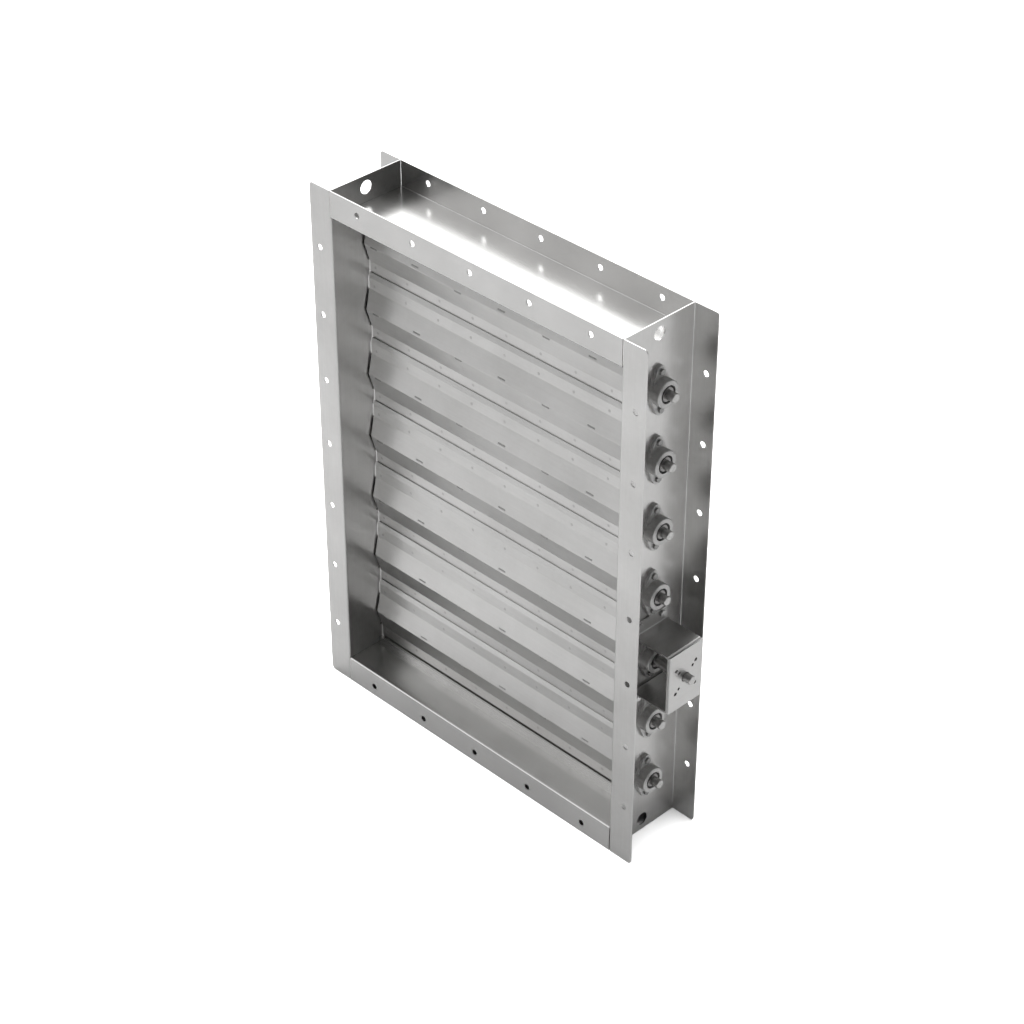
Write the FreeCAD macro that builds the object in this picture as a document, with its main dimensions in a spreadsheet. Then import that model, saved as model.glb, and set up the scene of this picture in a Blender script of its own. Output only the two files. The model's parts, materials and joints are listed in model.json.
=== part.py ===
import FreeCAD, Part
import math
import os

import Sketcher

# Heavy-duty rectangular damper with seven parallel-action double-skin blades.
# Frame: X across the duct with the drive side at +X, Y along the air flow with the front
# flange face at 0, Z up. The origin is the centre of the duct opening on that face.

# Counts of the repeated pieces
BLADE_COUNT = 7
DRIVEN_BLADE = 5
SIDE_HOLE_COUNT = 7
END_HOLE_COUNT = 5

# Driving dimensions, in millimetres and degrees
SIZES = {
    # casing
    "opening_width": 650,
    "opening_height": 900,
    "casing_depth": 158,
    "casing_sheet": 2,
    "casing_bend": 1.5,
    "flange_width": 50,
    "flange_corner": 7,
    "seam_gap": 0.3,
    "flange_hole": 11,
    "flange_hole_setback": 30,
    "side_hole_pitch": 128.5,
    "end_hole_pitch": 130,
    "lifting_hole": 24.5,
    "lifting_hole_edge": 22,
    "stop_depth": 6,
    "stop_height": 10,
    "stop_gap": 0.7,
    # blades
    "blade_margin": 7.25,
    "blade_end_gap": 3,
    "blade_sheet": 1.5,
    "blade_bend": 1,
    "blade_shaft": 18.6,
    "skin_seat": 0.2,
    "upper_slope": 12,
    "lower_slope": 17.5,
    "lip_offset": 0.5,
    "tip_overlap": 5.75,
    "hook_height": 10,
    "hook_angle": 12,
    "seal_thickness": 1.4,
    "seal_height": 4.5,
    "seal_drop": 1.5,
    "plug_weld_pitch": 200,
    "plug_weld_end_distance": 22,
    "plug_weld_length": 17,
    "plug_weld_width": 3,
    "low_weld_drop": 1.7,
    "high_weld_rise": 5,
    # bearings
    "journal": 16,
    "journal_chamfer": 1,
    "wall_hole": 20,
    "running_fit": 0.05,
    "housing_width": 46.5,
    "housing_base": 6,
    "housing_height": 22,
    "housing_edge": 1,
    "housing_end_radius": 10,
    "housing_bolt_reach": 33.5,
    "housing_recess": 31,
    "recess_depth": 4,
    "ring_diameter": 24,
    "ring_inset": 1,
    "bolt_diameter": 6,
    "bolt_hole": 6.4,
    "bolt_flats": 10,
    "bolt_head": 4,
    "shaft_stickout": 15.5,
    # actuator bracket and drive spindle
    "bracket_reach": 82,
    "bracket_height": 113,
    "bracket_width": 78,
    "bracket_sheet": 3,
    "bracket_bend": 2,
    "bracket_foot": 24,
    "actuator_plate": 3,
    "foot_screw_pitch": 52,
    "foot_screw_reach": 16,
    "foot_screw_diameter": 6,
    "foot_screw_hole": 6.4,
    "foot_screw_flats": 10,
    "foot_screw_head": 4,
    "small_circle": 45,
    "small_circle_hole": 5.5,
    "large_circle": 65,
    "large_circle_hole": 6.6,
    "plate_hole": 18,
    "sleeve_diameter": 20.5,
    "sleeve_gap": 3,
    "spindle_stickout": 15,
    "cross_pin_diameter": 5,
    "cross_pin_setback": 6,
    # crank arms and link bar
    "crank_radius": 50,
    "crank_angle": 45,
    "crank_gap": 3,
    "crank_plate": 6,
    "crank_hub": 32,
    "hub_length": 10,
    "eye_diameter": 24,
    "pin_diameter": 10,
    "pin_head": 16,
    "pin_head_height": 3,
    "link_gap": 0.4,
    "link_thickness": 5,
    "link_width": 25,
    "clip_thickness": 1.2,
}

# Sizes that follow from the sheet, written as expressions over it
BLADE_PITCH = f"((sizes.opening_height - 2 * sizes.blade_margin) / {BLADE_COUNT})"
MID_DEPTH = "(sizes.casing_depth / 2)"
WALL_FACE = "(sizes.opening_width / 2 + sizes.casing_sheet)"
BOSS_FACE = f"({WALL_FACE} + sizes.housing_height)"
BLADE_LENGTH = "(sizes.opening_width - 2 * sizes.blade_end_gap)"
SHAFT_END = f"({BOSS_FACE} + sizes.shaft_stickout)"
CROSS_PIN_X = f"({SHAFT_END} - sizes.cross_pin_setback)"
CRANK_START = f"({BOSS_FACE} + sizes.crank_gap)"
CRANK_END = f"({CRANK_START} + sizes.hub_length + sizes.journal_chamfer)"
LINK_START = f"({CRANK_START} + sizes.crank_plate + sizes.link_gap)"
LINK_FACE = f"({LINK_START} + sizes.link_thickness)"
PLATE_FACE = f"({WALL_FACE} + sizes.bracket_reach)"
WEB_FACE = f"({PLATE_FACE} - sizes.actuator_plate)"
LIP_FRONT = "(sizes.lip_offset + 2 * sizes.blade_sheet)"
RIDGE = "((sizes.blade_shaft / 2 + sizes.skin_seat + sizes.blade_sheet) / cos(sizes.lower_slope))"
HOOK_TIP = f"({BLADE_PITCH} / 2 + sizes.tip_overlap)"
HOOK_ROOT = f"({HOOK_TIP} - sizes.hook_height)"
HOOK_INSIDE = f"(-{LIP_FRONT} + sizes.blade_sheet / cos(sizes.hook_angle))"
SEAL_TOP = f"({HOOK_TIP} - sizes.seal_drop)"
SEAL_BACK = (f"({HOOK_INSIDE} + ({SEAL_TOP} - {HOOK_ROOT}) * tan(sizes.hook_angle)"
             " + sizes.seal_thickness * cos(sizes.hook_angle))")
CRANK_Y = f"({MID_DEPTH} + sizes.crank_radius * cos(sizes.crank_angle))"
CRANK_DROP = "(sizes.crank_radius * sin(sizes.crank_angle))"

# Each sketch plane: the model axes of its first and second direction and of its normal
PLANE_AXES = {"XY_Plane": (0, 1, 2), "XZ_Plane": (0, 2, 1), "YZ_Plane": (1, 2, 0)}

Vector = FreeCAD.Vector
X_AXIS = Vector(1, 0, 0)
NEAR = 1e-3

doc = FreeCAD.newDocument("rectangular_damper")
sheet = doc.addObject("Spreadsheet::Sheet", "sizes")
for row, (alias, size) in enumerate(SIZES.items(), start=1):
    sheet.set(f"A{row}", alias)
    sheet.set(f"B{row}", str(size))
    sheet.setAlias(f"B{row}", alias)
doc.recompute()

pieces = []


def value(expression):
    """Number that an expression over the sheet gives."""
    return float(sheet.evalExpression(str(expression)))


def blade_z(number):
    """Height of a blade's axis, blade 1 being the top one."""
    return f"({(BLADE_COUNT + 1) / 2 - number} * {BLADE_PITCH})"


def place(item, x="0", y="0", z="0", turn=0, axis=X_AXIS):
    """Turn an object about an axis and bind its position to expressions."""
    item.Placement = FreeCAD.Placement(Vector(), FreeCAD.Rotation(axis, turn))
    item.setExpression(".Placement.Base.x", x)
    item.setExpression(".Placement.Base.y", y)
    item.setExpression(".Placement.Base.z", z)
    return item


def keep(item):
    """Hand a finished object in as one sub-part."""
    pieces.append(item)
    return item


def new_body(label):
    body = doc.addObject("PartDesign::Body", label)
    body.Label = label
    return body


def origin_item(body, role):
    return next(item for item in body.Origin.OriginFeatures if item.Role == role)


def new_sketch(body, plane, name):
    sketch = body.newObject("Sketcher::SketchObject", name)
    sketch.AttachmentSupport = [(origin_item(body, plane), "")]
    sketch.MapMode = "FlatFace"
    return sketch


def bind_point(sketch, line, end, x, y):
    """Hold one end of a sketch line, or a circle's centre, at two expressions."""
    for kind, expression in (("DistanceX", x), ("DistanceY", y)):
        index = sketch.addConstraint(Sketcher.Constraint(kind, -1, 1, line, end, value(expression)))
        sketch.setExpression(f"Constraints[{index}]", expression)


def bind_size(sketch, kind, items, expression):
    """Add a dimension to a sketch and bind it to an expression."""
    index = sketch.addConstraint(Sketcher.Constraint(kind, *items, value(expression)))
    sketch.setExpression(f"Constraints[{index}]", expression)


def outline(sketch, corners):
    """Closed outline whose corners are pairs of expressions."""
    points = [Vector(value(x), value(y), 0) for x, y in corners]
    for start, end in zip(points, points[1:] + points[:1]):
        sketch.addGeometry(Part.LineSegment(start, end), False)
    for index, (x, y) in enumerate(corners):
        sketch.addConstraint(Sketcher.Constraint("Coincident", index, 1, (index - 1) % len(corners), 2))
        bind_point(sketch, index, 1, x, y)


def left_offset(points, distance):
    """The same run of points, set off to its left by a distance."""
    ways = [(b - a).normalize() for a, b in zip(points, points[1:])]
    normals = [Vector(-way.y, way.x, 0) for way in ways]
    inner = [points[0] + normals[0] * distance]
    for point, before, after in zip(points[1:-1], normals, normals[1:]):
        inner.append(point + (before + after) * (distance / (1 + before.dot(after))))
    inner.append(points[-1] + normals[-1] * distance)
    return inner


def sheet_profile(sketch, corners, thickness):
    """Section of a folded sheet: the corners give its outer face, the metal lies to its left."""
    outer = [Vector(value(x), value(y), 0) for x, y in corners]
    inner = left_offset(outer, value(thickness))
    loop = outer + inner[::-1]
    for start, end in zip(loop, loop[1:] + loop[:1]):
        sketch.addGeometry(Part.LineSegment(start, end), False)
    count = len(loop)
    folds = len(outer) - 1
    for index in range(count):
        sketch.addConstraint(Sketcher.Constraint("Coincident", index, 2, (index + 1) % count, 1))
    for index, (x, y) in enumerate(corners):
        bind_point(sketch, index, 1, x, y)
    for index in range(folds):
        opposite = 2 * folds - index
        sketch.addConstraint(Sketcher.Constraint("Parallel", index, opposite))
        bind_size(sketch, "Distance", (opposite, 2, index), thickness)
    sketch.addConstraint(Sketcher.Constraint("Perpendicular", folds - 1, folds))
    sketch.addConstraint(Sketcher.Constraint("Perpendicular", 0, count - 1))
    return outer, inner


def edges_through(feature, plane, points):
    """Names of the straight edges that stand square on a sketch plane at the given points."""
    first, second, along = PLANE_AXES[plane]
    names = []
    for number, edge in enumerate(feature.Shape.Edges, start=1):
        ends = [vertex.Point for vertex in edge.Vertexes]
        if len(ends) != 2 or abs(ends[0][along] - ends[1][along]) < NEAR:
            continue
        for point in points:
            if all(math.hypot(end[first] - point.x, end[second] - point.y) < NEAR for end in ends):
                names.append(f"Edge{number}")
    return names


def round_edges(body, base, plane, points, radius, name):
    """Fillet the edges that stand on a plane at the given points."""
    doc.recompute()
    fillet = body.newObject("PartDesign::Fillet", name)
    fillet.Base = (base, edges_through(base, plane, points))
    fillet.setExpression("Radius", radius)
    return fillet


def pad_sketch(body, sketch, length, both_ways=False, backwards=False):
    pad = body.newObject("PartDesign::Pad", "pad")
    pad.Profile = sketch
    pad.SideType = "Symmetric" if both_ways else "One side"
    pad.Reversed = backwards
    pad.setExpression("Length", length)
    return pad


def folded_body(label, plane, corners, thickness, length, bend):
    """Body of one sheet folded along the corners, with rounded bends."""
    body = new_body(label)
    sketch = new_sketch(body, plane, "section")
    outer, inner = sheet_profile(sketch, corners, thickness)
    pad = pad_sketch(body, sketch, length, both_ways=True)
    wide, tight = [], []
    for index in range(1, len(outer) - 1):
        before = outer[index] - outer[index - 1]
        after = outer[index + 1] - outer[index]
        turns_left = before.cross(after).z > 0
        wide.append(outer[index] if turns_left else inner[index])
        tight.append(inner[index] if turns_left else outer[index])
    inside = round_edges(body, pad, plane, tight, bend, "bend_inside")
    round_edges(body, inside, plane, wide, f"{bend} + {thickness}", "bend_outside")
    return body


def drill(body, plane, holes, name):
    """Round holes right through the body: each hole is its two centre expressions and a diameter."""
    sketch = new_sketch(body, plane, f"{name}_places")
    for index, (x, y, diameter) in enumerate(holes):
        centre = Vector(value(x), value(y), 0)
        sketch.addGeometry(Part.Circle(centre, Vector(0, 0, 1), value(diameter) / 2), False)
        bind_point(sketch, index, 3, x, y)
        bind_size(sketch, "Diameter", (index,), diameter)
    return cut_through(body, sketch, name)


def cut_through(body, sketch, name):
    pocket = body.newObject("PartDesign::Pocket", name)
    pocket.Profile = sketch
    pocket.Type = "ThroughAll"
    pocket.SideType = "Symmetric"
    return pocket


def slot_row(body, name, x, z, count):
    """Row of plug-weld slots through a skin: the first slot's centre, then a pitch along X."""
    sketch = new_sketch(body, "XZ_Plane", f"{name}_place")
    reach = "(sizes.plug_weld_length - sizes.plug_weld_width) / 2"
    radius = value("sizes.plug_weld_width") / 2
    left = Vector(value(f"{x} - {reach}"), value(z), 0)
    right = Vector(value(f"{x} + {reach}"), value(z), 0)
    up, normal = Vector(0, radius, 0), Vector(0, 0, 1)
    quarter = math.pi / 2
    sketch.addGeometry([
        Part.LineSegment(right + up, left + up),
        Part.ArcOfCircle(Part.Circle(left, normal, radius), quarter, 3 * quarter),
        Part.LineSegment(left - up, right - up),
        Part.ArcOfCircle(Part.Circle(right, normal, radius), -quarter, quarter),
    ], False)
    for line in range(4):
        sketch.addConstraint(Sketcher.Constraint("Tangent", line, 2, (line + 1) % 4, 1))
    for arc, way in ((1, "-"), (3, "+")):
        bind_point(sketch, arc, 3, f"{x} {way} {reach}", z)
        bind_size(sketch, "Radius", (arc,), "sizes.plug_weld_width / 2")
    slot = cut_through(body, sketch, name)
    repeat_along(body, slot, "X_Axis", "sizes.plug_weld_pitch", count)


def repeat_along(body, feature, role, pitch, count):
    """Repeat one feature at a pitch along an axis of its body."""
    pattern = body.newObject("PartDesign::LinearPattern", f"{feature.Name}_row")
    pattern.Originals = [feature]
    pattern.Direction = (origin_item(body, role), [""])
    pattern.Mode = "Spacing"
    pattern.setExpression("Offset", pitch)
    pattern.Occurrences = count
    body.Tip = pattern
    return pattern


def tapered_plate(sketch, radius, end_radius, end_x, end_y):
    """Outline round two circles, one at the origin, joined by their common tangents."""
    big, small = value(radius), value(end_radius)
    reach = Vector(value(end_x), value(end_y), 0)
    heading = math.atan2(reach.y, reach.x)
    spread = math.acos((big - small) / reach.Length)
    first, last = heading + spread, heading - spread
    up = Vector(math.cos(first), math.sin(first), 0)
    down = Vector(math.cos(last), math.sin(last), 0)
    normal = Vector(0, 0, 1)
    sketch.addGeometry([
        Part.ArcOfCircle(Part.Circle(Vector(), normal, big), first, last + 2 * math.pi),
        Part.LineSegment(down * big, reach + down * small),
        Part.ArcOfCircle(Part.Circle(reach, normal, small), last, first),
        Part.LineSegment(reach + up * small, up * big),
    ], False)
    for line in range(4):
        sketch.addConstraint(Sketcher.Constraint("Tangent", line, 2, (line + 1) % 4, 1))
    sketch.addConstraint(Sketcher.Constraint("Coincident", 0, 3, -1, 1))
    bind_point(sketch, 2, 3, end_x, end_y)
    bind_size(sketch, "Radius", (0,), radius)
    bind_size(sketch, "Radius", (2,), end_radius)


def turned_body(label, corners):
    """Body turned about X from a half section given as pairs of expressions."""
    body = new_body(label)
    sketch = new_sketch(body, "XY_Plane", "half_section")
    outline(sketch, corners)
    turned = body.newObject("PartDesign::Revolution", "turned")
    turned.Profile = sketch
    turned.ReferenceAxis = (origin_item(body, "X_Axis"), [""])
    turned.Angle = 360
    return body


def group(label, source, places):
    """One node of identical pieces: each place is x, y and z expressions and a half turn or none."""
    copies = []
    for number, (x, y, z, facing_left) in enumerate(places, start=1):
        copy = doc.addObject("App::Link", f"{label}_{number}")
        copy.LinkedObject = source
        copy.LinkTransform = True
        place(copy, x, y, z, 180 if facing_left else 0, Vector(0, 0, 1))
        copies.append(copy)
    row = doc.addObject("Part::Compound", label)
    row.Label = label
    row.Links = copies
    return keep(row)


def side_channel(label, side):
    """Side wall with its two flanges turned outward; side is +1 on the right, -1 on the left."""
    wall = f"{side} * sizes.opening_width / 2"
    edge = f"{side} * (sizes.opening_width / 2 + sizes.flange_width)"
    corners = [(edge, "0"), (wall, "0"), (wall, "sizes.casing_depth"), (edge, "sizes.casing_depth")]
    corners = corners if side < 0 else corners[::-1]
    tall = "sizes.opening_height + 2 * sizes.flange_width"
    body = folded_body(label, "XY_Plane", corners, "sizes.casing_sheet", tall, "sizes.casing_bend")
    doc.recompute()

    rounded = body.newObject("PartDesign::Fillet", "flange_corners")
    rounded.Base = (body.Group[-2], flange_corner_edges(body.Group[-2], value(edge), value(tall) / 2))
    rounded.setExpression("Radius", "sizes.flange_corner")

    row_x = f"{side} * (sizes.opening_width / 2 + sizes.flange_hole_setback)"
    row_z = f"-{(SIDE_HOLE_COUNT - 1) / 2} * sizes.side_hole_pitch"
    holes = drill(body, "XZ_Plane", [(row_x, row_z, "sizes.flange_hole")], "flange_holes")
    repeat_along(body, holes, "Z_Axis", "sizes.side_hole_pitch", SIDE_HOLE_COUNT)

    lowest = blade_z(BLADE_COUNT)
    bearing = [(MID_DEPTH, lowest, "sizes.wall_hole")]
    for way in ("-", "+"):
        bearing.append((MID_DEPTH, f"{lowest} {way} sizes.housing_bolt_reach", "sizes.bolt_hole"))
    seats = drill(body, "YZ_Plane", bearing, "bearing_holes")
    repeat_along(body, seats, "Z_Axis", BLADE_PITCH, BLADE_COUNT)

    lift_z = f"(({tall}) / 2 - sizes.lifting_hole_edge)"
    lifting = [(MID_DEPTH, f"{way}{lift_z}", "sizes.lifting_hole") for way in ("", "-")]
    drill(body, "YZ_Plane", lifting, "lifting_holes")
    if side > 0:
        drill(body, "YZ_Plane", foot_screw_holes(MID_DEPTH, blade_z(DRIVEN_BLADE)), "foot_holes")
    return keep(body)


def flange_corner_edges(feature, edge_x, half_height):
    """The free corners of both flanges: short edges along Y at the flange's edge."""
    names = []
    for number, edge in enumerate(feature.Shape.Edges, start=1):
        middle = edge.CenterOfMass
        along_y = len(edge.Vertexes) == 2 and abs(edge.Vertexes[0].Y - edge.Vertexes[1].Y) > NEAR
        at_corner = abs(middle.x - edge_x) < NEAR and abs(abs(middle.z) - half_height) < NEAR
        if along_y and at_corner:
            names.append(f"Edge{number}")
    return names


def end_channel(label, way):
    """Top (+1) or bottom (-1) wall between the side walls, with its flanges turned outward."""
    wall = f"{way} * sizes.opening_height / 2"
    edge = f"{way} * (sizes.opening_height / 2 + sizes.flange_width)"
    corners = [("0", edge), ("0", wall), ("sizes.casing_depth", wall), ("sizes.casing_depth", edge)]
    corners = corners if way > 0 else corners[::-1]
    wide = "sizes.opening_width - 2 * sizes.seam_gap"
    body = folded_body(label, "YZ_Plane", corners, "sizes.casing_sheet", wide, "sizes.casing_bend")
    row_x = f"-{(END_HOLE_COUNT - 1) / 2} * sizes.end_hole_pitch"
    row_z = f"{way} * (sizes.opening_height / 2 + sizes.flange_hole_setback)"
    holes = drill(body, "XZ_Plane", [(row_x, row_z, "sizes.flange_hole")], "flange_holes")
    repeat_along(body, holes, "X_Axis", "sizes.end_hole_pitch", END_HOLE_COUNT)
    return keep(body)


def blade_stop(label, way):
    """Flat bar that a closed blade's lip rests against: behind the top lip, before the bottom one."""
    bar = doc.addObject("Part::Box", label)
    bar.Label = label
    bar.setExpression("Length", "sizes.opening_width - 2 * sizes.seam_gap")
    bar.setExpression("Width", "sizes.stop_depth")
    bar.setExpression("Height", "sizes.stop_height")
    front = f"{SEAL_BACK} + sizes.stop_gap" if way > 0 else "-sizes.stop_gap - sizes.stop_depth"
    low = "sizes.opening_height / 2 - sizes.stop_height" if way > 0 else "-sizes.opening_height / 2"
    place(bar, "-sizes.opening_width / 2 + sizes.seam_gap", f"{MID_DEPTH} + {front}", low)
    return keep(bar)


def blade_skin(label, number, rear):
    """Pressed skin: hooked upper lip, ridge plug-welded to the shaft and flat lower lip."""
    corners = [
        (f"-{LIP_FRONT} + sizes.hook_height * tan(sizes.hook_angle)", HOOK_TIP),
        (f"-{LIP_FRONT}", HOOK_ROOT),
        (f"-{LIP_FRONT}", f"({RIDGE} - {LIP_FRONT}) / tan(sizes.upper_slope)"),
        (f"-{RIDGE}", "0"),
        ("sizes.lip_offset", f"-({RIDGE} + sizes.lip_offset) / tan(sizes.lower_slope)"),
        ("sizes.lip_offset", f"-({BLADE_PITCH} / 2 - sizes.tip_overlap)"),
    ]
    body = folded_body(label, "YZ_Plane", corners, "sizes.blade_sheet", BLADE_LENGTH,
                       "sizes.blade_bend")
    # as many slots as the length holds, those of the high row midway between those of the low row
    free_length = value(f"{BLADE_LENGTH} - 2 * sizes.plug_weld_end_distance")
    low_count = int(free_length / value("sizes.plug_weld_pitch") + NEAR) + 1
    for name, height, count in (("low_welds", "-sizes.low_weld_drop", low_count),
                                ("high_welds", "sizes.high_weld_rise", low_count - 1)):
        slot_row(body, name, f"-{(count - 1) / 2} * sizes.plug_weld_pitch", height, count)
    place(body, "0", MID_DEPTH, blade_z(number), 180 if rear else 0)
    return keep(body)


def blade_seal(label, number):
    """Rubber strip lying along the inside of the upper hook."""
    bottom = f"({SEAL_TOP} - sizes.seal_height)"
    corners = [(f"{HOOK_INSIDE} + ({z} - {HOOK_ROOT}) * tan(sizes.hook_angle)", z)
               for z in (SEAL_TOP, bottom)]
    body = new_body(label)
    sketch = new_sketch(body, "YZ_Plane", "section")
    sheet_profile(sketch, corners, "sizes.seal_thickness")
    pad_sketch(body, sketch, BLADE_LENGTH, both_ways=True)
    place(body, "0", MID_DEPTH, blade_z(number))
    return keep(body)


def blade_shaft(label, number):
    """Turned axle: thick between the skins, with a journal at each end."""
    journal, thick = "sizes.journal / 2", "sizes.blade_shaft / 2"
    low = "(sizes.journal / 2 - sizes.journal_chamfer)"
    half = f"{BLADE_LENGTH} / 2"
    corners = [
        (f"-{CRANK_END}", "0"),
        (f"-{CRANK_END}", low),
        (f"-{CRANK_END} + sizes.journal_chamfer", journal),
        (f"-{half}", journal),
        (f"-{half}", thick),
        (half, thick),
        (half, journal),
        (f"{SHAFT_END} - sizes.journal_chamfer", journal),
        (SHAFT_END, low),
        (SHAFT_END, "0"),
    ]
    body = turned_body(label, corners)
    if number == DRIVEN_BLADE:
        drill(body, "XY_Plane", [(CROSS_PIN_X, "0", "sizes.cross_pin_diameter")], "cross_pin_hole")
    place(body, "0", MID_DEPTH, blade_z(number))
    return keep(body)


def crank_arm(label, number):
    """Arm on the left journal: a flat eye plate with a longer hub."""
    body = new_body(label)
    plate = new_sketch(body, "YZ_Plane", "arm_outline")
    tapered_plate(plate, "sizes.crank_hub / 2", "sizes.eye_diameter / 2", "sizes.crank_radius", "0")
    pad_sketch(body, plate, "sizes.crank_plate", backwards=True)
    hub = new_sketch(body, "YZ_Plane", "hub_outline")
    hub.addGeometry(Part.Circle(Vector(), Vector(0, 0, 1), value("sizes.crank_hub / 2")), False)
    hub.addConstraint(Sketcher.Constraint("Coincident", 0, 3, -1, 1))
    bind_size(hub, "Diameter", (0,), "sizes.crank_hub")
    pad_sketch(body, hub, "sizes.hub_length", backwards=True)
    eye = "sizes.pin_diameter + 2 * sizes.running_fit"
    drill(body, "YZ_Plane", [("0", "0", "sizes.journal"), ("sizes.crank_radius", "0", eye)], "bores")
    place(body, f"-{CRANK_START}", MID_DEPTH, blade_z(number))
    body.Placement.Rotation = FreeCAD.Rotation(X_AXIS, -value("sizes.crank_angle"))
    body.setExpression(".Placement.Rotation.Angle", "-sizes.crank_angle")
    return keep(body)


def bearing_housing():
    """Two-bolt flange housing, its base on the YZ plane and its boss towards +X."""
    body = new_body("bearing_housing")
    for way in ("", "-"):
        base = new_sketch(body, "YZ_Plane", "base_outline")
        reach = f"{way}sizes.housing_bolt_reach"
        tapered_plate(base, "sizes.housing_width / 2", "sizes.housing_end_radius", "0", reach)
        pad_sketch(body, base, "sizes.housing_base")
    boss = new_sketch(body, "YZ_Plane", "boss_outline")
    boss.addGeometry(Part.Circle(Vector(), Vector(0, 0, 1), value("sizes.housing_width / 2")), False)
    boss.addConstraint(Sketcher.Constraint("Coincident", 0, 3, -1, 1))
    bind_size(boss, "Diameter", (0,), "sizes.housing_width")
    top = pad_sketch(body, boss, "sizes.housing_height")
    doc.recompute()

    rim = body.newObject("PartDesign::Chamfer", "boss_edge")
    rim.Base = (top, rim_edges(top, value("sizes.housing_height")))
    rim.setExpression("Size", "sizes.housing_edge")
    holes = [("0", "0", "sizes.ring_diameter + 2 * sizes.running_fit")]
    holes += [("0", f"{way}sizes.housing_bolt_reach", "sizes.bolt_hole") for way in ("", "-")]
    drill(body, "YZ_Plane", holes, "bores")

    recess = new_sketch(body, "YZ_Plane", "recess_outline")
    recess.setExpression(".AttachmentOffset.Base.z", "sizes.housing_height - sizes.recess_depth")
    radius = value("sizes.housing_recess / 2")
    recess.addGeometry(Part.Circle(Vector(), Vector(0, 0, 1), radius), False)
    recess.addConstraint(Sketcher.Constraint("Coincident", 0, 3, -1, 1))
    bind_size(recess, "Diameter", (0,), "sizes.housing_recess")
    cut = body.newObject("PartDesign::Pocket", "recess")
    cut.Profile = recess
    cut.Type = "ThroughAll"
    cut.Reversed = True
    return body


def rim_edges(feature, face_x):
    """Round edges of the face at the given X."""
    names = []
    for number, edge in enumerate(feature.Shape.Edges, start=1):
        if abs(edge.BoundBox.XMin - face_x) < NEAR and edge.BoundBox.XLength < NEAR:
            names.append(f"Edge{number}")
    return names


def hex_screw(label, flats, head, diameter, grip):
    """Hexagon screw along X: the head starts at 0 and the shank runs back towards -X."""
    prism = doc.addObject("Part::Prism", f"{label}_head")
    prism.Polygon = 6
    prism.setExpression("Circumradius", f"{flats} / 2 / cos(30)")
    prism.setExpression("Height", head)
    shank = doc.addObject("Part::Cylinder", f"{label}_shank")
    shank.setExpression("Radius", f"{diameter} / 2")
    shank.setExpression("Height", grip)
    place(prism, turn=90, axis=Vector(0, 1, 0))
    place(shank, x=f"-({grip})", turn=90, axis=Vector(0, 1, 0))
    screw = doc.addObject("Part::Fuse", label)
    screw.Base = prism
    screw.Tool = shank
    return screw


def bearing_ring():
    """Inner ring of one bearing, along X from the wall face."""
    end = "sizes.housing_height - sizes.ring_inset"
    bore, rim = "sizes.journal / 2", "sizes.ring_diameter / 2"
    corners = [("sizes.ring_inset", bore), (end, bore), (end, rim), ("sizes.ring_inset", rim)]
    return turned_body("bearing_ring", corners)


def foot_screw_holes(y, z):
    """The four screws through the bracket's feet, round a point on the wall."""
    reach = "(sizes.bracket_height / 2 + sizes.foot_screw_reach)"
    return [(f"{y} {side} sizes.foot_screw_pitch / 2", f"{z} {way} {reach}", "sizes.foot_screw_hole")
            for side in ("-", "+") for way in ("-", "+")]


def actuator_bracket():
    """Hat-shaped console round the drive spindle, screwed to the side wall by its two feet."""
    foot = f"({WALL_FACE} + sizes.bracket_sheet)"
    half, toe = "sizes.bracket_height / 2", "(sizes.bracket_height / 2 + sizes.bracket_foot)"
    corners = [(foot, f"-{toe}"), (foot, f"-{half}"), (WEB_FACE, f"-{half}"), (WEB_FACE, half),
               (foot, half), (foot, toe)]
    body = folded_body("actuator_bracket", "XZ_Plane", corners, "sizes.bracket_sheet",
                       "sizes.bracket_width", "sizes.bracket_bend")
    drill(body, "YZ_Plane", foot_screw_holes("0", "0"), "foot_holes")
    actuator_holes(body)
    place(body, "0", MID_DEPTH, blade_z(DRIVEN_BLADE))
    return keep(body)


def actuator_plate():
    """Flat plate welded on the console, the face that an actuator is fastened to."""
    body = new_body("actuator_plate")
    face = new_sketch(body, "YZ_Plane", "plate_outline")
    face.setExpression(".AttachmentOffset.Base.z", WEB_FACE)
    half, up = "sizes.bracket_width / 2", "sizes.bracket_height / 2"
    outline(face, [(f"-{half}", f"-{up}"), (half, f"-{up}"), (half, up), (f"-{half}", up)])
    pad_sketch(body, face, "sizes.actuator_plate")
    actuator_holes(body)
    place(body, "0", MID_DEPTH, blade_z(DRIVEN_BLADE))
    return keep(body)


def actuator_holes(body):
    """Spindle hole and the two bolt circles round it."""
    drill(body, "YZ_Plane", [("0", "0", "sizes.plate_hole")], "spindle_hole")
    for circle in ("small_circle", "large_circle"):
        across = f"sizes.{circle} / 2 * cos(45)"
        hole = drill(body, "YZ_Plane", [(across, across, f"sizes.{circle}_hole")], circle)
        ring = body.newObject("PartDesign::PolarPattern", f"{circle}_ring")
        ring.Originals = [hole]
        ring.Axis = (origin_item(body, "X_Axis"), [""])
        ring.Angle = 360
        ring.Occurrences = 4
        body.Tip = ring


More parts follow.
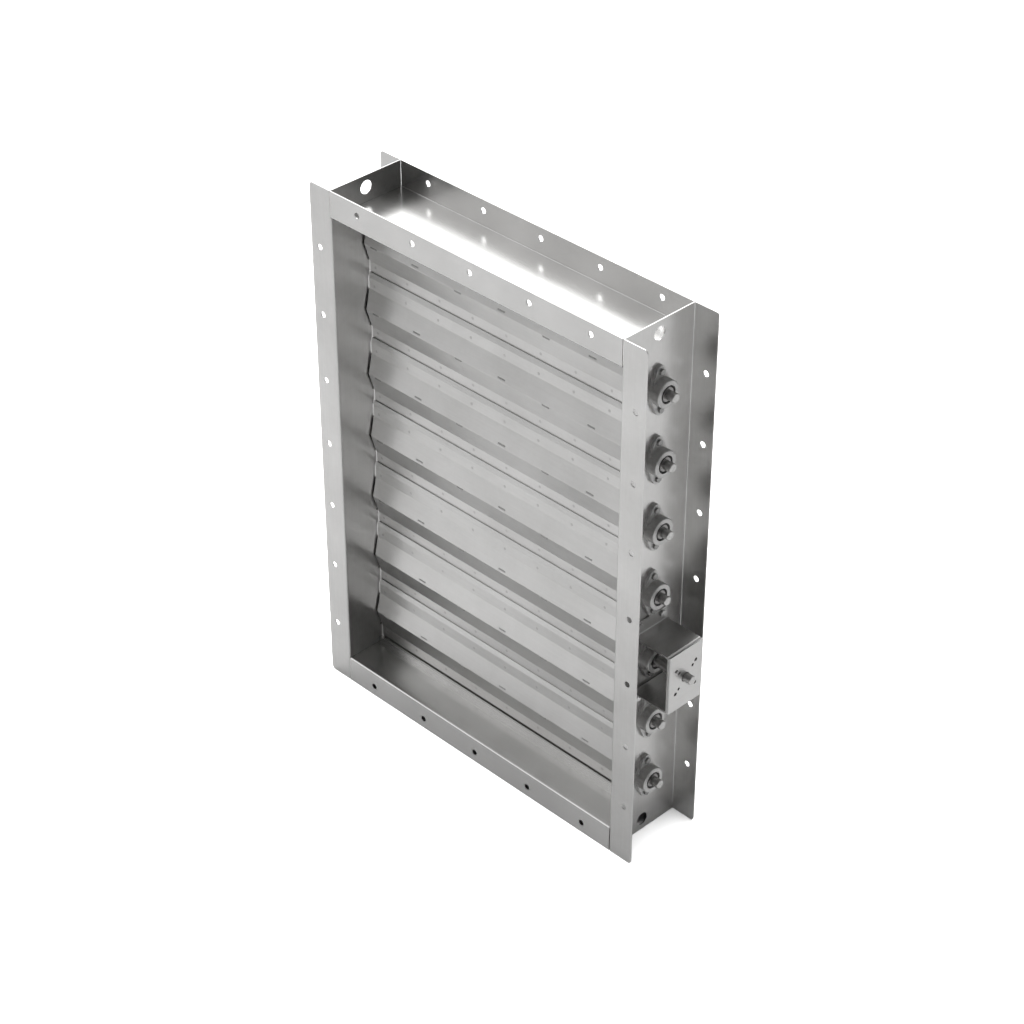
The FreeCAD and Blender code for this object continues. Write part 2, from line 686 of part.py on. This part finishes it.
def drive_spindle():
    """Sleeve over the driven journal that carries the spindle out through the bracket plate."""
    start = f"({BOSS_FACE} + sizes.sleeve_gap)"
    shoulder = f"({WEB_FACE} - 2 * sizes.bracket_sheet)"
    tip = f"({PLATE_FACE} + sizes.spindle_stickout)"
    bore, thin, thick = "sizes.journal / 2", "sizes.journal / 2", "sizes.sleeve_diameter / 2"
    corners = [
        (start, bore),
        (SHAFT_END, bore),
        (SHAFT_END, "0"),
        (tip, "0"),
        (tip, f"{thin} - sizes.journal_chamfer"),
        (f"{tip} - sizes.journal_chamfer", thin),
        (shoulder, thin),
        (shoulder, thick),
        (start, thick),
    ]
    body = turned_body("drive_spindle", corners)
    drill(body, "XY_Plane", [(CROSS_PIN_X, "0", "sizes.cross_pin_diameter")], "cross_pin_hole")
    place(body, "0", MID_DEPTH, blade_z(DRIVEN_BLADE))
    return keep(body)


def cross_pin():
    pin = doc.addObject("Part::Cylinder", "cross_pin")
    pin.Label = "cross_pin"
    pin.setExpression("Radius", "sizes.cross_pin_diameter / 2")
    pin.setExpression("Height", "sizes.sleeve_diameter")
    place(pin, CROSS_PIN_X, MID_DEPTH, f"{blade_z(DRIVEN_BLADE)} - sizes.sleeve_diameter / 2")
    return keep(pin)


def link_bar():
    """Flat bar on the left that joins the seven crank arms."""
    body = new_body("link_bar")
    bar = new_sketch(body, "YZ_Plane", "bar_outline")
    reach = f"-{BLADE_COUNT - 1} * {BLADE_PITCH}"
    tapered_plate(bar, "sizes.link_width / 2", "sizes.link_width / 2", "0", reach)
    pad_sketch(body, bar, "sizes.link_thickness", backwards=True)
    holes = drill(body, "YZ_Plane", [("0", reach, "sizes.pin_diameter")], "pin_holes")
    repeat_along(body, holes, "Z_Axis", BLADE_PITCH, BLADE_COUNT)
    place(body, f"-{LINK_START}", CRANK_Y, f"{blade_z(1)} - {CRANK_DROP}")
    return keep(body)


def link_pin():
    """Headed pin along X: its head lies outside the bar, its shank runs in through bar and arm."""
    grip = f"({LINK_FACE} - {CRANK_START} + 2 * sizes.clip_thickness)"
    shank = doc.addObject("Part::Cylinder", "link_pin_shank")
    shank.setExpression("Radius", "sizes.pin_diameter / 2")
    shank.setExpression("Height", grip)
    head = doc.addObject("Part::Cylinder", "link_pin_head")
    head.setExpression("Radius", "sizes.pin_head / 2")
    head.setExpression("Height", "sizes.pin_head_height")
    place(shank, turn=90, axis=Vector(0, 1, 0))
    place(head, x="-sizes.pin_head_height", turn=90, axis=Vector(0, 1, 0))
    pin = doc.addObject("Part::Fuse", "link_pin")
    pin.Base = shank
    pin.Tool = head
    return pin


def link_clip():
    """Retaining ring on the inner end of a link pin."""
    ring = doc.addObject("Part::Cylinder", "link_clip_ring")
    bore = doc.addObject("Part::Cylinder", "link_clip_bore")
    for item, radius in ((ring, "sizes.pin_head / 2"), (bore, "sizes.pin_diameter / 2")):
        item.setExpression("Radius", radius)
        item.setExpression("Height", "sizes.clip_thickness")
        place(item, turn=90, axis=Vector(0, 1, 0))
    clip = doc.addObject("Part::Cut", "link_clip")
    clip.Base = ring
    clip.Tool = bore
    return clip


# Fixed frame
side_channel("left_side_channel", -1)
side_channel("right_side_channel", 1)
end_channel("top_channel", 1)
end_channel("bottom_channel", -1)
blade_stop("top_blade_stop", 1)
blade_stop("bottom_blade_stop", -1)

# Bearings on both side walls
numbers = range(1, BLADE_COUNT + 1)
housing = bearing_housing()
group("right_bearing_housings", housing, [(WALL_FACE, MID_DEPTH, blade_z(n), False) for n in numbers])
group("left_bearing_housings", housing,
      [(f"-{WALL_FACE}", MID_DEPTH, blade_z(n), True) for n in numbers])
bolt = hex_screw("bearing_bolt", "sizes.bolt_flats", "sizes.bolt_head", "sizes.bolt_diameter",
                 "sizes.housing_base + sizes.casing_sheet")
bolt_seat = f"({WALL_FACE} + sizes.housing_base)"
group("bearing_bolts", bolt,
      [(f"{'-' if left else ''}{bolt_seat}", MID_DEPTH, f"{blade_z(n)} {way} sizes.housing_bolt_reach", left)
       for left in (False, True) for n in numbers for way in ("-", "+")])

# Actuator console and drive
actuator_bracket()
actuator_plate()
foot_screw = hex_screw("foot_screw", "sizes.foot_screw_flats", "sizes.foot_screw_head",
                       "sizes.foot_screw_diameter", "sizes.bracket_sheet + sizes.casing_sheet")
group("bracket_screws", foot_screw,
      [(f"{WALL_FACE} + sizes.bracket_sheet", y, z, False)
       for y, z, hole in foot_screw_holes(MID_DEPTH, blade_z(DRIVEN_BLADE))])
drive_spindle()
cross_pin()

# The seven blades with what turns with each of them
ring = bearing_ring()
for n in numbers:
    blade_skin(f"blade_{n}_front_skin", n, rear=False)
    blade_skin(f"blade_{n}_rear_skin", n, rear=True)
    blade_seal(f"blade_{n}_seal", n)
    blade_shaft(f"blade_{n}_shaft", n)
    group(f"blade_{n}_bearing_rings", ring,
          [(WALL_FACE, MID_DEPTH, blade_z(n), False), (f"-{WALL_FACE}", MID_DEPTH, blade_z(n), True)])
    crank_arm(f"blade_{n}_crank_arm", n)

# Linkage on the left
link_bar()
pin_heights = [f"{blade_z(n)} - {CRANK_DROP}" for n in numbers]
group("link_pins", link_pin(), [(f"-{LINK_FACE}", CRANK_Y, z, False) for z in pin_heights])
clip_start = f"-({CRANK_START} - sizes.link_gap / 2)"
group("link_clips", link_clip(), [(clip_start, CRANK_Y, z, False) for z in pin_heights])

doc.recompute()

for item in doc.Objects:
    if "Invalid" in item.State or "Error" in item.State:
        raise RuntimeError(f"{item.Label} failed: {item.State}")
    if item.TypeId == "PartDesign::Pocket" and item.Shape.Volume > item.BaseFeature.Shape.Volume - NEAR:
        raise RuntimeError(f"{item.Label} cut nothing")
for piece in pieces:
    if piece.Shape.isNull() or not piece.Shape.isValid():
        raise RuntimeError(f"{piece.Label} has no valid shape")

os.makedirs("parts", exist_ok=True)
for piece in pieces:
    piece.Shape.exportStep(f"parts/{piece.Label}.step")
    print(piece.Label, len(piece.Shape.Solids), round(piece.Shape.Volume, 1))
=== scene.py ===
import json
import math

import bmesh
import bpy
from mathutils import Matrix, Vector

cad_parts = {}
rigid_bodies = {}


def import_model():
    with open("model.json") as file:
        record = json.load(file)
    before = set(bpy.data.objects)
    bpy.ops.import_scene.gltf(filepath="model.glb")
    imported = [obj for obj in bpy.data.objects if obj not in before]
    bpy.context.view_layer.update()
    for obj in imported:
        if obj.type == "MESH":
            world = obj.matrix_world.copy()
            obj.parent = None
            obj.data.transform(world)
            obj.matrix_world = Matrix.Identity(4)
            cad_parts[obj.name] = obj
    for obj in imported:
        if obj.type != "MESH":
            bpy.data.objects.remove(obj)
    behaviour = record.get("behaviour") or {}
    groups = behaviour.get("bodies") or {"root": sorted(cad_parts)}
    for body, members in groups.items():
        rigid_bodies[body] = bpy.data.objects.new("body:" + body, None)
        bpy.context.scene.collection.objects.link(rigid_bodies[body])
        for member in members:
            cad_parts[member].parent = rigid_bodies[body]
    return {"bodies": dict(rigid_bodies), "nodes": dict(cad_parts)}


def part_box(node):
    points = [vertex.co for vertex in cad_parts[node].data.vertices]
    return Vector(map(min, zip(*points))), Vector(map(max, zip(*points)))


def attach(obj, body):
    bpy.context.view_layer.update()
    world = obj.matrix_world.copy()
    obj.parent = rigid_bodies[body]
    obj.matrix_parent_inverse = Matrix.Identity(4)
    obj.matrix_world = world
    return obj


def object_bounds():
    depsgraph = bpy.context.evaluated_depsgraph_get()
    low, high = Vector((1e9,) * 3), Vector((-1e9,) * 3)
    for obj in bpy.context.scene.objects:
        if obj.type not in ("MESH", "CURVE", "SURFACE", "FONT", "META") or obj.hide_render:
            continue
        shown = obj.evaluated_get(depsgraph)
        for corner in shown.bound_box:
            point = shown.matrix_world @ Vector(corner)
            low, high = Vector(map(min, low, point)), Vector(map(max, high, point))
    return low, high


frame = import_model()
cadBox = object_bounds()
print("frame loaded:", len(frame["nodes"]), "nodes")

mm = 0.001
nodes = frame["nodes"]


# a node's lowest and highest corner in millimetres
def cornersOf(node):
    low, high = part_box(node)
    return Vector(low) / mm, Vector(high) / mm


def centreOf(node):
    low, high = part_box(node)
    return (Vector(low) + Vector(high)) / 2


# noise laid over the object in its own coordinates
def noiseOver(tree, place, perMetre, detail):
    noise = tree.nodes.new("ShaderNodeTexNoise")
    noise.inputs["Scale"].default_value = perMetre
    noise.inputs["Detail"].default_value = detail
    tree.links.new(place, noise.inputs["Vector"])
    return noise.outputs["Fac"]


def stretched(tree, place, stretch):
    mapping = tree.nodes.new("ShaderNodeMapping")
    mapping.inputs["Scale"].default_value = stretch
    tree.links.new(place, mapping.inputs["Vector"])
    return mapping.outputs["Vector"]


# first * share + second
def addShare(tree, first, share, second):
    adding = tree.nodes.new("ShaderNodeMath")
    adding.operation = "MULTIPLY_ADD"
    adding.inputs[1].default_value = share
    tree.links.new(first, adding.inputs[0])
    tree.links.new(second, adding.inputs[2])
    return adding.outputs["Value"]


bumpDepth = 0.0002


# colour and roughness follow the shade, the bump follows the height
def dressShader(tree, look, shade, height, colourSpan, glossSpan):
    shader = tree.nodes["Principled BSDF"]
    shader.inputs["Metallic"].default_value = look["metallic"]

    colours = tree.nodes.new("ShaderNodeValToRGB")
    ramp = colours.color_ramp.elements
    for element, position, colour in zip(ramp, colourSpan, ("dark", "light")):
        element.position = position
        element.color = look[colour]
    tree.links.new(shade, colours.inputs["Fac"])
    tree.links.new(colours.outputs["Color"], shader.inputs["Base Color"])

    gloss = tree.nodes.new("ShaderNodeMapRange")
    gloss.inputs["From Min"].default_value = glossSpan[0]
    gloss.inputs["From Max"].default_value = glossSpan[1]
    gloss.inputs["To Min"].default_value = look["roughness"][0]
    gloss.inputs["To Max"].default_value = look["roughness"][1]
    tree.links.new(shade, gloss.inputs["Value"])
    tree.links.new(gloss.outputs["Result"], shader.inputs["Roughness"])

    bump = tree.nodes.new("ShaderNodeBump")
    bump.inputs["Strength"].default_value = look["bump"]
    bump.inputs["Distance"].default_value = bumpDepth
    tree.links.new(height, bump.inputs["Height"])
    tree.links.new(bump.outputs["Normal"], shader.inputs["Normal"])


# all zinc coated sheet: crystals of the coating, soft clouds and rolling streaks
def galvanisedFinish(name, look):
    material = bpy.data.materials.new(name)
    material.use_nodes = True
    tree = material.node_tree
    place = tree.nodes.new("ShaderNodeTexCoord").outputs["Object"]
    crystals = tree.nodes.new("ShaderNodeTexVoronoi")
    crystals.inputs["Scale"].default_value = look["crystalsPerMetre"]
    crystalGrey = tree.nodes.new("ShaderNodeRGBToBW")
    tree.links.new(place, crystals.inputs["Vector"])
    tree.links.new(crystals.outputs["Color"], crystalGrey.inputs["Color"])
    clouds = noiseOver(tree, place, look["cloudsPerMetre"], detail=4)
    rolled = stretched(tree, place, look["streakStretch"])
    streaks = noiseOver(tree, rolled, look["streaksPerMetre"], detail=2)

    shade = addShare(tree, crystalGrey.outputs["Val"], look["crystalShare"], clouds)
    shade = addShare(tree, streaks, look["streakShare"], shade)
    dressShader(tree, look, shade, streaks, colourSpan=(0.4, 0.95), glossSpan=(0.3, 1.1))
    return material


grainsPerPatch = 12
patchShare = 0.5


# turned, cast, plated and rubber parts: a fine grain over soft patches
def grainyFinish(name, look):
    material = bpy.data.materials.new(name)
    material.use_nodes = True
    tree = material.node_tree
    place = tree.nodes.new("ShaderNodeTexCoord").outputs["Object"]
    drawnOut = stretched(tree, place, look["stretch"])
    grain = noiseOver(tree, drawnOut, look["grainsPerMetre"], detail=5)
    patches = noiseOver(tree, place, look["grainsPerMetre"] / grainsPerPatch, detail=2)

    shade = addShare(tree, patches, patchShare, grain)
    dressShader(tree, look, shade, grain, colourSpan=(0.4, 1), glossSpan=(0.4, 1))
    return material


# each roughness stays on one side of 0.274, because the denoiser leaves specks where it crosses
uprightSheet = {
    "metallic": 0.94, "dark": (0.5, 0.497, 0.49, 1), "light": (0.62, 0.617, 0.61, 1),
    "crystalsPerMetre": 160, "crystalShare": 0.07, "cloudsPerMetre": 7,
    "streakStretch": (30, 30, 1), "streaksPerMetre": 10, "streakShare": 0.25,
    "roughness": (0.277, 0.305), "bump": 0.012,
}
crosswiseSheet = {**uprightSheet, "streakStretch": (1, 30, 30), "roughness": (0.21, 0.27)}
bladeSheet = {**crosswiseSheet, "dark": (0.49, 0.487, 0.48, 1), "light": (0.6, 0.597, 0.59, 1),
              "roughness": (0.277, 0.32)}
bracketSheet = {**uprightSheet, "dark": (0.455, 0.453, 0.447, 1), "light": (0.57, 0.567, 0.561, 1),
                "streakStretch": (20, 1, 20), "roughness": (0.3, 0.42)}
castIron = {
    "metallic": 0.8, "dark": (0.44, 0.437, 0.432, 1), "light": (0.6, 0.597, 0.59, 1),
    "stretch": (1, 1, 1), "grainsPerMetre": 700, "roughness": (0.4, 0.6), "bump": 0.25,
}
turnedSteel = {
    "metallic": 0.95, "dark": (0.33, 0.328, 0.32, 1), "light": (0.56, 0.556, 0.55, 1),
    "stretch": (8, 1, 1), "grainsPerMetre": 400, "roughness": (0.28, 0.36), "bump": 0.08,
}
zincPlate = {
    "metallic": 0.95, "dark": (0.42, 0.42, 0.415, 1), "light": (0.62, 0.618, 0.61, 1),
    "stretch": (1, 1, 1), "grainsPerMetre": 500, "roughness": (0.28, 0.4), "bump": 0.06,
}
# seal rubber: a real part, but its light grey is painted light that lifts the shade in the slit
# under each blade's lip
sealRubberSlitLight = {
    "metallic": 0.0, "dark": (0.5, 0.498, 0.492, 1), "light": (0.62, 0.617, 0.61, 1),
    "stretch": (1, 1, 1), "grainsPerMetre": 900, "roughness": (0.5, 0.7), "bump": 0.1,
}
# bearing shields: black that is partly their own rubber and partly painted shade of the bearing
# recess
shieldRubberAndRecessShade = {**sealRubberSlitLight, "dark": (0.02, 0.02, 0.02, 1), "light": (0.06, 0.06, 0.059, 1)}

# weld tone: dark grey on the plug welds; on the strips in the flange joints the same tone is
# painted shade of the gaps
weldToneAndGapShade = {
    "metallic": 0.8, "dark": (0.24, 0.238, 0.235, 1), "light": (0.42, 0.416, 0.41, 1),
    "stretch": (1, 1, 1), "grainsPerMetre": 900, "roughness": (0.35, 0.6), "bump": 0.2,
}
# spot weld marks: partly the weld's own mark, partly painted shade standing in for a dimple the
# mesh doesn't have
spotMarkDimpleShade = {**weldToneAndGapShade, "dark": (0.38, 0.377, 0.372, 1), "light": (0.54, 0.536, 0.53, 1)}
# the bearing rings are painted dark: this is painted shade of the bearing recess, not the ground
# steel's own tone
bearingSteelRecessShade = {**turnedSteel, "dark": (0.16, 0.158, 0.155, 1), "light": (0.3, 0.298, 0.293, 1)}
boltSteel = {**zincPlate, "dark": (0.2, 0.199, 0.196, 1), "light": (0.34, 0.338, 0.333, 1)}

finishes = {
    "weld": grainyFinish("weld bead and painted gap shade", weldToneAndGapShade),
    "spot": grainyFinish("spot weld", spotMarkDimpleShade),
    "bearing": grainyFinish("bearing steel with painted recess shade", bearingSteelRecessShade),
    "bolt": grainyFinish("dark bolt steel", boltSteel),
    "upright": galvanisedFinish("galvanised sheet, upright", uprightSheet),
    "crosswise": galvanisedFinish("galvanised sheet, crosswise", crosswiseSheet),
    "blade": galvanisedFinish("galvanised blade sheet", bladeSheet),
    "bracket": galvanisedFinish("galvanised bracket sheet", bracketSheet),
    "iron": grainyFinish("cast bearing iron", castIron),
    "turned": grainyFinish("turned shaft steel", turnedSteel),
    "zinc": grainyFinish("zinc plated steel", zincPlate),
    "rubber": grainyFinish("grey seal rubber with painted slit light", sealRubberSlitLight),
    "shield": grainyFinish("black shield rubber and painted recess shade", shieldRubberAndRecessShade),
}

# which finish each piece wears, by how its name ends
wornBy = (
    ("side_channel", "upright"), ("_channel", "crosswise"), ("blade_stop", "crosswise"),
    ("_skin", "blade"), ("_seal", "rubber"), ("_shaft", "turned"), ("_rings", "bearing"),
    ("_housings", "iron"), ("_bolts", "bolt"), ("_screws", "zinc"), ("_bracket", "bracket"),
    ("_plate", "bracket"), ("_spindle", "turned"), ("cross_pin", "turned"), ("_arm", "zinc"),
    ("link_bar", "zinc"), ("_pins", "zinc"), ("_clips", "zinc"),
)
for name, piece in nodes.items():
    finish = next(worn for ending, worn in wornBy if name.endswith(ending))
    piece.data.materials.clear()
    piece.data.materials.append(finishes[finish])
print("finishes on", len(nodes), "nodes")


# a finished mesh becomes a piece that rides on its body
def newPiece(name, shape, finish, body, smooth=True):
    bmesh.ops.recalc_face_normals(shape, faces=shape.faces)
    mesh = bpy.data.meshes.new(name)
    shape.to_mesh(mesh)
    shape.free()
    for polygon in mesh.polygons:
        polygon.use_smooth = smooth
    mesh.materials.append(finishes[finish])
    piece = bpy.data.objects.new(name, mesh)
    bpy.context.collection.objects.link(piece)
    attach(piece, body)


# closed loops of points, each bridged to the one before
def skinLoops(shape, loops, fillFirst=False, fillLast=True):
    rows = [[shape.verts.new(point) for point in loop] for loop in loops]
    for before, after in zip(rows, rows[1:]):
        for k in range(len(before)):
            n = (k + 1) % len(before)
            shape.faces.new((before[k], before[n], after[n], after[k]))
    if fillFirst:
        shape.faces.new(rows[0])
    if fillLast:
        shape.faces.new(rows[-1])


# a full turn in even steps
def turns(sides):
    return [2 * math.pi * k / sides for k in range(sides)]


# spot welds where the two skins of a blade lap: a raised ring round a shallow pit; their dark tone
# is partly the weld's own mark and partly painted shade of a dimple
spotWeld = {"pitch": 77.3, "count": 9, "fromAxis": 46.0, "sides": 20,
            "rings": ((2.6, 0.0), (2.3, 0.16), (1.8, 0.16), (1.2, 0.03))}
lapFaces = (  # up or down from the axis, facing, depth of the face behind the axis
    (1, -1, -3.5), (1, 1, -0.5), (-1, -1, 0.5), (-1, 1, 3.5),
)


def spotWelds(blade, axis):
    shape = bmesh.new()
    half = (spotWeld["count"] - 1) / 2
    for up, facing, depth in lapFaces:
        for i in range(spotWeld["count"]):
            along = (i - half) * spotWeld["pitch"]
            centre = axis + mm * Vector((along, depth, up * spotWeld["fromAxis"]))
            skinLoops(shape, [
                [centre + mm * Vector((radius * math.cos(a), facing * rise, radius * math.sin(a)))
                 for a in turns(spotWeld["sides"])]
                for radius, rise in spotWeld["rings"]])
    newPiece(blade + "_spot_welds", shape, "spot", blade)


# plug welds: a crowned bead that fills each slot along the ridge
plugWeld = {
    "length": 16.4, "sides": 9, "pitch": 200,
    "rows": (  # first bead, how many, height, depth and slope of the face, width, crown
        (-300, 4, -2.4, -10.73, 17.5, 4.4, 2.0),
        (-200, 3, 5.0, -10.4, -12.0, 2.8, 0.7),
    ),
    "crowning": ((1.0, -0.5), (0.86, 0.1), (0.55, 0.4), (0.2, 0.5)),  # share of width, of crown
}


def plugWelds(blade, axis):
    shape = bmesh.new()
    for first, count, height, depth, slope, width, crown in plugWeld["rows"]:
        lean = math.radians(slope)
        alongSlope = Vector((0, -math.sin(lean), math.cos(lean)))
        outwards = Vector((0, -math.cos(lean), -math.sin(lean)))
        for turned in (1, -1):
            for i in range(count):
                centre = Vector((first + i * plugWeld["pitch"], depth, height))
                loops = []
                for share, rise in plugWeld["crowning"]:
                    reach = plugWeld["length"] / 2 - width / 2
                    radius = width / 2 * share
                    loop = []
                    for end, start in ((1, -math.pi / 2), (-1, math.pi / 2)):
                        for k in range(plugWeld["sides"]):
                            a = start + math.pi * k / (plugWeld["sides"] - 1)
                            point = centre + Vector((end * reach + radius * math.cos(a), 0, 0))
                            point += alongSlope * radius * math.sin(a) + outwards * (rise * crown)
                            point.y *= turned  # the rear skin is the front one turned half a turn
                            point.z *= turned
                            loop.append(axis + mm * point)
                    loops.append(loop)
                skinLoops(shape, loops)
    newPiece(blade + "_plug_welds", shape, "weld", blade)


# soft lip on the seal's upper edge, it closes the slit under the next blade's lip; the seal's
# light grey is painted light that lifts the shade in that slit
sealLip = {"endGap": 4, "section": ((-0.1, 67.6), (0.42, 67.6), (0.42, 68.8), (0.14, 68.8))}


def sealLips(blade, axis):
    shape = bmesh.new()
    low, high = cornersOf(blade + "_seal")
    skinLoops(shape, [[axis + mm * Vector((x, y, z)) for y, z in sealLip["section"]]
                      for x in (low.x + sealLip["endGap"], high.x - sealLip["endGap"])],
              fillFirst=True)
    newPiece(blade + "_seal_lip", shape, "rubber", blade, smooth=False)


bladeAxes = {}
for blade in [body for body in frame["bodies"] if body.startswith("blade_")]:
    axis = centreOf(blade + "_shaft")
    axis.x = 0
    bladeAxes[blade] = axis
    spotWelds(blade, axis)
    plugWelds(blade, axis)
    sealLips(blade, axis)
print("welds and seal lips on", len(bladeAxes), "blades")


# rubber shields in the bearings, between the inner ring and the rim of the recess; their black is
# partly the shields' own rubber and partly painted shade of the recess
shield = {
    "below": 3.2, "sides": 48,  # below the face of the boss
    "profile": ((12.3, 0.0), (12.6, 0.5), (14.6, 0.9), (15.3, 0.5), (15.4, -0.4)),  # radius, rise
}


def bearingShields(side, way):
    shape = bmesh.new()
    bossFace = max(abs(corner.x) for corner in cornersOf(side + "_bearing_housings"))
    for axis in bladeAxes.values():
        skinLoops(shape, [
            [axis + mm * Vector((way * (bossFace - shield["below"] + rise),
                                 radius * math.cos(a), radius * math.sin(a)))
             for a in turns(shield["sides"])]
            for radius, rise in shield["profile"]], fillLast=False)
    newPiece(side + "_bearing_shields", shape, "shield", "casing")


bearingShields("right", 1)
bearingShields("left", -1)
print("bearing shields")


# weld runs in the joints between the flanges, set back a little from their faces; their dark weld
# tone is also painted shade that fills the joint gaps
seam = {
    "innerGap": 0.4, "outerGap": 0.6, "steps": 40,
    "width": 0.34, "setBack": 0.25, "depth": 1.2, "ripple": 0.05, "ripplePerStep": 2.1,
}


def seamWelds(side, inwards):
    shape = bmesh.new()
    low, high = cornersOf("top_channel")
    sideWall = cornersOf("right_side_channel")[0].x
    aside = (high.x + sideWall) / 2  # middle of the gap between the two channels
    face = low.y if inwards > 0 else high.y
    inner = low.z + seam["innerGap"]
    outer = high.z - seam["outerGap"]
    section = [(-seam["width"] / 2, seam["depth"]), (-seam["width"] / 2, 0),
               (seam["width"] / 2, 0), (seam["width"] / 2, seam["depth"])]
    for across in (1, -1):
        for up in (1, -1):
            previous = None
            for k in range(seam["steps"] + 1):
                z = up * (inner + (outer - inner) * k / seam["steps"])
                ripple = seam["ripple"] * math.sin(k * seam["ripplePerStep"])
                y = face + inwards * (seam["setBack"] + ripple)
                row = [shape.verts.new(mm * Vector((across * aside + wide, y + inwards * deep, z)))
                       for wide, deep in section]
                if previous:
                    for n in range(len(section) - 1):
                        shape.faces.new((previous[n], previous[n + 1], row[n + 1], row[n]))
                previous = row
    newPiece(side + "_seam_welds", shape, "weld", "casing")


seamWelds("front", 1)
seamWelds("rear", -1)
print("seam welds")


# pale floor: plain white to the camera, softer where the metal mirrors it
floorLook = {"size": 8, "below": 0.0005, "seen": 0.9, "mirrored": 0.275, "roughness": 0.8}
floorLevel = cadBox[0].z - floorLook["below"]
bpy.ops.mesh.primitive_plane_add(size=floorLook["size"], location=(0, 0, floorLevel))
floor = bpy.context.object
floor.name = "floor"
pale = bpy.data.materials.new("pale floor")
pale.use_nodes = True
paleShader = pale.node_tree.nodes["Principled BSDF"]
paleShader.inputs["Roughness"].default_value = floorLook["roughness"]
paleShader.inputs["Specular IOR Level"].default_value = 0
floorRays = pale.node_tree.nodes.new("ShaderNodeLightPath")
floorShade = pale.node_tree.nodes.new("ShaderNodeMapRange")
floorShade.inputs["To Min"].default_value = floorLook["mirrored"]
floorShade.inputs["To Max"].default_value = floorLook["seen"]
pale.node_tree.links.new(floorRays.outputs["Is Camera Ray"], floorShade.inputs["Value"])
pale.node_tree.links.new(floorShade.outputs["Result"], paleShader.inputs["Base Color"])
floor.data.materials.append(pale)

# soft studio light: three broad glows from above, seen in the metal but not by the camera
studio = {
    "base": 0.15,
    "backdrop": 1.0,
    # towards, how far the glow reaches in degrees, strength
    "glows": {
        "high left back": ((-0.497, 0.552, 0.669), 34, 3.6),
        "high left front": ((-0.585, -0.578, 0.569), 42, 1.3),
        "high right back": ((0.585, 0.578, 0.569), 45, 0.4),
    },
}
world = bpy.data.worlds.new("studio")
bpy.context.scene.world = world
world.use_nodes = True
sky = world.node_tree
background = sky.nodes["Background"]
background.inputs["Color"].default_value = (1, 1, 1, 1)
towards = sky.nodes.new("ShaderNodeTexCoord")
total = None
for name, (direction, reach, strength) in studio["glows"].items():
    facing = sky.nodes.new("ShaderNodeVectorMath")
    facing.operation = "DOT_PRODUCT"
    facing.inputs[1].default_value = direction
    sky.links.new(towards.outputs["Generated"], facing.inputs[0])
    glow = sky.nodes.new("ShaderNodeMapRange")
    glow.label = name
    glow.interpolation_type = "SMOOTHSTEP"
    glow.inputs["From Min"].default_value = math.cos(math.radians(reach))
    glow.inputs["From Max"].default_value = 1
    glow.inputs["To Max"].default_value = strength
    sky.links.new(facing.outputs["Value"], glow.inputs["Value"])
    adding = sky.nodes.new("ShaderNodeMath")
    adding.inputs[1].default_value = studio["base"]
    sky.links.new(glow.outputs["Result"], adding.inputs[0])
    if total:
        sky.links.new(total, adding.inputs[1])
    total = adding.outputs["Value"]
rays = sky.nodes.new("ShaderNodeLightPath")
seen = sky.nodes.new("ShaderNodeMix")
seen.inputs["B"].default_value = studio["backdrop"]
sky.links.new(rays.outputs["Is Camera Ray"], seen.inputs["Factor"])
sky.links.new(total, seen.inputs["A"])
sky.links.new(seen.outputs["Result"], background.inputs["Strength"])

# a wide even light that only the floor receives: white all round, dark beneath the casing
floorLight = {"strength": 8.5, "spread": 60}
onlyFloor = bpy.data.collections.new("lit by the floor light")
onlyFloor.objects.link(floor)
wide = bpy.data.lights.new("floor light", "SUN")
wide.energy = floorLight["strength"]
wide.angle = math.radians(floorLight["spread"])
wideHolder = bpy.data.objects.new("floor light", wide)
wideHolder.light_linking.receiver_collection = onlyFloor
bpy.context.collection.objects.link(wideHolder)

# soft box overhead, kept out of the metal's reflections
softBox = {"at": (-1.6, 0.4, 3.2), "size": 2.2, "power": 60}
lamp = bpy.data.lights.new("top soft box", "AREA")
lamp.size = softBox["size"]
lamp.energy = softBox["power"]
lampHolder = bpy.data.objects.new("top soft box", lamp)
lampHolder.location = softBox["at"]
lampHolder.rotation_euler = (-Vector(softBox["at"])).to_track_quat("-Z", "Y").to_euler()
lampHolder.visible_glossy = False
bpy.context.collection.objects.link(lampHolder)
print("floor and lights")

# camera worked out from the photograph's corners
photoCamera = {"at": (2.5796, -2.4565, 2.4971), "azimuth": -45.342, "elevation": -34.696,
               "lens": 92.88, "sensor": 36}
azimuth = math.radians(photoCamera["azimuth"])
elevation = math.radians(photoCamera["elevation"])
forward = Vector((math.sin(azimuth) * math.cos(elevation),
                  math.cos(azimuth) * math.cos(elevation), math.sin(elevation)))
lens = bpy.data.cameras.new("photo camera")
lens.lens = photoCamera["lens"]
lens.sensor_width = photoCamera["sensor"]
camera = bpy.data.objects.new("photo camera", lens)
camera.location = photoCamera["at"]
camera.rotation_mode = "QUATERNION"
camera.rotation_quaternion = forward.to_track_quat("-Z", "Y")
bpy.context.collection.objects.link(camera)
bpy.context.scene.camera = camera
bpy.context.scene.view_settings.view_transform = "Standard"
print("camera")
